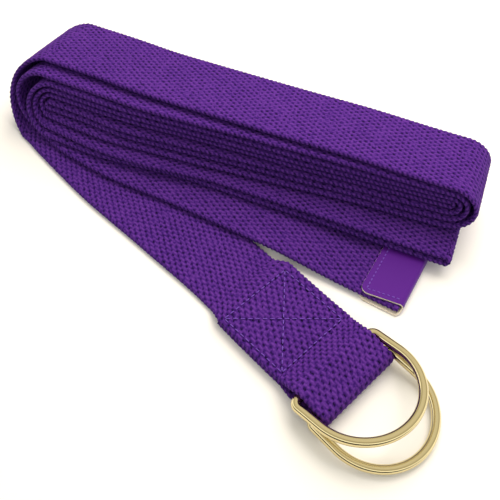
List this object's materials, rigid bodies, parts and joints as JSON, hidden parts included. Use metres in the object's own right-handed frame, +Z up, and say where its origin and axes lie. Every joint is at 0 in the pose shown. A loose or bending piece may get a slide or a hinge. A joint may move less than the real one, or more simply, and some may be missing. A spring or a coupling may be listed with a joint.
{
  "type": "stretching strap",
  "caption": "Folded cotton webbing stretching strap with a pair of swinging D-rings in a sewn loop and a stitched vinyl tip",
  "frame": {"origin": "middle of the folded strap's footprint, on the surface it lies on", "axes": "+X along the top leg of the folded stack, towards the end that holds the rings; +Y away from the rings across the stack; +Z up out of the surface"},
  "size_m": [0.2418, 0.1594, 0.0338],
  "materials": {
    "webbing_cotton": "plain woven cotton, piece-dyed violet",
    "thread": "spun polyester sewing thread",
    "plated_steel": "bright nickel plate on bent steel wire",
    "tip_vinyl": "smooth soft vinyl sheet"
  },
  "bodies": {
    "strap": {"webbing": "webbing_cotton", "loop_stitch": "thread", "tip_cover": "tip_vinyl", "tip_stitch": "thread"},
    "ring_a": {"upper_ring": "plated_steel"},
    "ring_b": {"lower_ring": "plated_steel"}
  },
  "joints": [
    {"name": "upper_ring_swing", "type": "hinge", "parent": "strap", "child": "ring_a", "pos_m": [0.07586, -0.04383, 0.00645], "axis": [-0.4069, -0.9135, 0], "range_deg": [0, 150]},
    {"name": "lower_ring_swing", "type": "hinge", "parent": "strap", "child": "ring_b", "pos_m": [0.08381, -0.04737, 0.00435], "axis": [-0.4069, -0.9135, 0], "range_deg": [-75, 0]}
  ]
}
